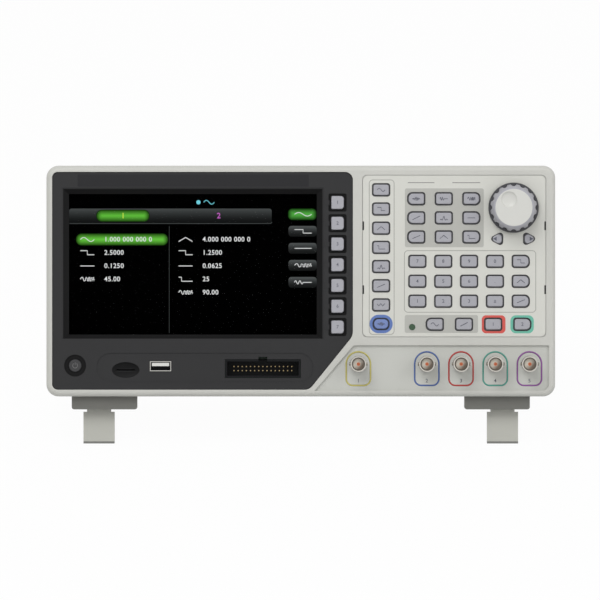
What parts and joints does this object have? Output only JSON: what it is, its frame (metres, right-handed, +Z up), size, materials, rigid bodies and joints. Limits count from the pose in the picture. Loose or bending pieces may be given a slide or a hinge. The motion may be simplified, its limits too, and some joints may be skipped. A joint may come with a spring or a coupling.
{
  "type": "function generator",
  "caption": "Bench function generator with colour screen, soft keys, keypad, knob, coaxial jacks and fold-out legs.",
  "frame": {"origin": "on the bench, under the middle of the instrument's box, with its front legs folded out", "axes": "+X to the instrument's right-hand side, +Y from the front panel to the back, +Z up; the case leans back on its legs"},
  "size_m": [0.313, 0.1456, 0.1685],
  "materials": {
    "case_plastic": "fine-textured moulded plastic",
    "plate_plastic": "smooth matt plastic",
    "surround_plastic": "fine-textured dark plastic",
    "window_glass": "polished",
    "display_metal": "stamped tinplate",
    "sheet_steel": "zinc-plated sheet",
    "circuit_board": "solder mask",
    "black_plastic": "moulded",
    "white_plastic": "turned",
    "nickel": "nickel-plated",
    "gilt": "gilt",
    "foot_plastic": "moulded",
    "foot_rubber": "matt",
    "screw_steel": "zinc-plated",
    "light_lens": "clear tinted",
    "knob_plastic": "satin moulded",
    "key_plastic": "matt moulded",
    "mode_key_plastic": "matt moulded"
  },
  "bodies": {
    "case": {"front_case": "case_plastic", "screen_surround": "surround_plastic", "keypad_panel": "plate_plastic", "rear_cover": "case_plastic", "screen_window": "window_glass", "lcd_module": "display_metal", "inner_chassis": "sheet_steel", "main_board": "circuit_board", "port_board": "circuit_board", "power_supply": "circuit_board", "key_board": "circuit_board", "knob_encoder": "display_metal", "fan_frame": "black_plastic", "bnc_shells": "nickel", "bnc_insulators": "white_plastic", "bnc_contacts": "gilt", "usb_port": "nickel", "card_slot": "nickel", "header_shroud": "black_plastic", "header_pins": "gilt", "mains_inlet": "black_plastic", "device_port": "nickel", "foot_blocks": "foot_plastic", "rear_feet": "foot_rubber", "case_screws": "screw_steel", "status_light": "light_lens"},
    "tilt_leg_left": {"tilt_leg_left": "foot_plastic"},
    "tilt_leg_right": {"tilt_leg_right": "foot_plastic"},
    "carry_handle": {"carry_handle": "foot_plastic"},
    "knob": {"knob": "knob_plastic"},
    "fan_rotor": {"fan_rotor": "black_plastic"},
    "mains_rocker": {"mains_rocker": "black_plastic"},
    "soft_key_1": {"soft_key_1": "key_plastic"},
    "soft_key_2": {"soft_key_2": "key_plastic"},
    "soft_key_3": {"soft_key_3": "key_plastic"},
    "soft_key_4": {"soft_key_4": "key_plastic"},
    "soft_key_5": {"soft_key_5": "key_plastic"},
    "soft_key_6": {"soft_key_6": "key_plastic"},
    "soft_key_7": {"soft_key_7": "key_plastic"},
    "wave_key_1": {"wave_key_1": "key_plastic"},
    "wave_key_2": {"wave_key_2": "key_plastic"},
    "wave_key_3": {"wave_key_3": "key_plastic"},
    "wave_key_4": {"wave_key_4": "key_plastic"},
    "wave_key_5": {"wave_key_5": "key_plastic"},
    "wave_key_6": {"wave_key_6": "key_plastic"},
    "wave_key_7": {"wave_key_7": "key_plastic"},
    "mode_key": {"mode_key": "mode_key_plastic"},
    "menu_row_1": {"menu_row_1": "key_plastic"},
    "menu_row_2": {"menu_row_2": "key_plastic"},
    "menu_row_3": {"menu_row_3": "key_plastic"},
    "number_row_1": {"number_row_1": "key_plastic"},
    "number_row_2": {"number_row_2": "key_plastic"},
    "number_row_3": {"number_row_3": "key_plastic"},
    "output_key_1": {"output_key_1": "key_plastic"},
    "output_key_2": {"output_key_2": "key_plastic"},
    "output_key_3": {"output_key_3": "key_plastic"},
    "output_key_4": {"output_key_4": "key_plastic"},
    "arrow_key_left": {"arrow_key_left": "key_plastic"},
    "arrow_key_right": {"arrow_key_right": "key_plastic"},
    "power_button": {"power_button": "surround_plastic"}
  },
  "joints": [
    {"name": "leg_left_fold", "type": "hinge", "parent": "case", "child": "tilt_leg_left", "pos_m": [-0.12435, -0.05126, 0.02352], "axis": [1, 0, 0], "range_deg": [0, 90]},
    {"name": "leg_right_fold", "type": "hinge", "parent": "case", "child": "tilt_leg_right", "pos_m": [0.12435, -0.05126, 0.02352], "axis": [1, 0, 0], "range_deg": [0, 90]},
    {"name": "handle_lift", "type": "hinge", "parent": "case", "child": "carry_handle", "pos_m": [0, 0.04751, 0.14457], "axis": [-1, 0, 0], "range_deg": [0, 90]},
    {"name": "knob_turn", "type": "hinge", "parent": "case", "child": "knob", "pos_m": [0.1308, -0.03721, 0.14407], "axis": [0, 0.9693, -0.2457], "continuous": true},
    {"name": "fan_spin", "type": "hinge", "parent": "case", "child": "fan_rotor", "pos_m": [0.095, 0.05959, 0.08642], "axis": [0, 0.9693, -0.2457], "continuous": true},
    {"name": "mains_switch", "type": "hinge", "parent": "case", "child": "mains_rocker", "pos_m": [-0.084, 0.05323, 0.06946], "axis": [1, 0, 0], "range_deg": [0, 18]},
    {"name": "soft_key_1_press", "type": "slide", "parent": "case", "child": "soft_key_1", "axis": [0, 0.9693, -0.2457], "range_m": [0, 0.0008], "stiffness_N_per_m": 600, "springref_m": -0.0005},
    {"name": "soft_key_2_press", "type": "slide", "parent": "case", "child": "soft_key_2", "axis": [0, 0.9693, -0.2457], "range_m": [0, 0.0008], "stiffness_N_per_m": 600, "springref_m": -0.0005},
    {"name": "soft_key_3_press", "type": "slide", "parent": "case", "child": "soft_key_3", "axis": [0, 0.9693, -0.2457], "range_m": [0, 0.0008], "stiffness_N_per_m": 600, "springref_m": -0.0005},
    {"name": "soft_key_4_press", "type": "slide", "parent": "case", "child": "soft_key_4", "axis": [0, 0.9693, -0.2457], "range_m": [0, 0.0008], "stiffness_N_per_m": 600, "springref_m": -0.0005},
    {"name": "soft_key_5_press", "type": "slide", "parent": "case", "child": "soft_key_5", "axis": [0, 0.9693, -0.2457], "range_m": [0, 0.0008], "stiffness_N_per_m": 600, "springref_m": -0.0005},
    {"name": "soft_key_6_press", "type": "slide", "parent": "case", "child": "soft_key_6", "axis": [0, 0.9693, -0.2457], "range_m": [0, 0.0008], "stiffness_N_per_m": 600, "springref_m": -0.0005},
    {"name": "soft_key_7_press", "type": "slide", "parent": "case", "child": "soft_key_7", "axis": [0, 0.9693, -0.2457], "range_m": [0, 0.0008], "stiffness_N_per_m": 600, "springref_m": -0.0005},
    {"name": "wave_key_1_press", "type": "slide", "parent": "case", "child": "wave_key_1", "axis": [0, 0.9693, -0.2457], "range_m": [0, 0.0008], "stiffness_N_per_m": 600, "springref_m": -0.0005},
    {"name": "wave_key_2_press", "type": "slide", "parent": "case", "child": "wave_key_2", "axis": [0, 0.9693, -0.2457], "range_m": [0, 0.0008], "stiffness_N_per_m": 600, "springref_m": -0.0005},
    {"name": "wave_key_3_press", "type": "slide", "parent": "case", "child": "wave_key_3", "axis": [0, 0.9693, -0.2457], "range_m": [0, 0.0008], "stiffness_N_per_m": 600, "springref_m": -0.0005},
    {"name": "wave_key_4_press", "type": "slide", "parent": "case", "child": "wave_key_4", "axis": [0, 0.9693, -0.2457], "range_m": [0, 0.0008], "stiffness_N_per_m": 600, "springref_m": -0.0005},
    {"name": "wave_key_5_press", "type": "slide", "parent": "case", "child": "wave_key_5", "axis": [0, 0.9693, -0.2457], "range_m": [0, 0.0008], "stiffness_N_per_m": 600, "springref_m": -0.0005},
    {"name": "wave_key_6_press", "type": "slide", "parent": "case", "child": "wave_key_6", "axis": [0, 0.9693, -0.2457], "range_m": [0, 0.0008], "stiffness_N_per_m": 600, "springref_m": -0.0005},
    {"name": "wave_key_7_press", "type": "slide", "parent": "case", "child": "wave_key_7", "axis": [0, 0.9693, -0.2457], "range_m": [0, 0.0008], "stiffness_N_per_m": 600, "springref_m": -0.0005},
    {"name": "mode_key_press", "type": "slide", "parent": "case", "child": "mode_key", "axis": [0, 0.9693, -0.2457], "range_m": [0, 0.0008], "stiffness_N_per_m": 600, "springref_m": -0.0005},
    {"name": "menu_row_1_press", "type": "slide", "parent": "case", "child": "menu_row_1", "axis": [0, 0.9693, -0.2457], "range_m": [0, 0.0008], "stiffness_N_per_m": 1800, "springref_m": -0.0005},
    {"name": "menu_row_2_press", "type": "slide", "parent": "case", "child": "menu_row_2", "axis": [0, 0.9693, -0.2457], "range_m": [0, 0.0008], "stiffness_N_per_m": 1800, "springref_m": -0.0005},
    {"name": "menu_row_3_press", "type": "slide", "parent": "case", "child": "menu_row_3", "axis": [0, 0.9693, -0.2457], "range_m": [0, 0.0008], "stiffness_N_per_m": 1800, "springref_m": -0.0005},
    {"name": "number_row_1_press", "type": "slide", "parent": "case", "child": "number_row_1", "axis": [0, 0.9693, -0.2457], "range_m": [0, 0.0008], "stiffness_N_per_m": 3000, "springref_m": -0.0005},
    {"name": "number_row_2_press", "type": "slide", "parent": "case", "child": "number_row_2", "axis": [0, 0.9693, -0.2457], "range_m": [0, 0.0008], "stiffness_N_per_m": 3000, "springref_m": -0.0005},
    {"name": "number_row_3_press", "type": "slide", "parent": "case", "child": "number_row_3", "axis": [0, 0.9693, -0.2457], "range_m": [0, 0.0008], "stiffness_N_per_m": 3000, "springref_m": -0.0005},
    {"name": "output_key_1_press", "type": "slide", "parent": "case", "child": "output_key_1", "axis": [0, 0.9693, -0.2457], "range_m": [0, 0.0008], "stiffness_N_per_m": 600, "springref_m": -0.0005},
    {"name": "output_key_2_press", "type": "slide", "parent": "case", "child": "output_key_2", "axis": [0, 0.9693, -0.2457], "range_m": [0, 0.0008], "stiffness_N_per_m": 600, "springref_m": -0.0005},
    {"name": "output_key_3_press", "type": "slide", "parent": "case", "child": "output_key_3", "axis": [0, 0.9693, -0.2457], "range_m": [0, 0.0008], "stiffness_N_per_m": 600, "springref_m": -0.0005},
    {"name": "output_key_4_press", "type": "slide", "parent": "case", "child": "output_key_4", "axis": [0, 0.9693, -0.2457], "range_m": [0, 0.0008], "stiffness_N_per_m": 600, "springref_m": -0.0005},
    {"name": "arrow_key_left_press", "type": "slide", "parent": "case", "child": "arrow_key_left", "axis": [0, 0.9693, -0.2457], "range_m": [0, 0.0008], "stiffness_N_per_m": 600, "springref_m": -0.0005},
    {"name": "arrow_key_right_press", "type": "slide", "parent": "case", "child": "arrow_key_right", "axis": [0, 0.9693, -0.2457], "range_m": [0, 0.0008], "stiffness_N_per_m": 600, "springref_m": -0.0005},
    {"name": "power_button_press", "type": "slide", "parent": "case", "child": "power_button", "axis": [0, 0.9693, -0.2457], "range_m": [0, 0.0008], "stiffness_N_per_m": 600, "springref_m": -0.0005}
  ]
}
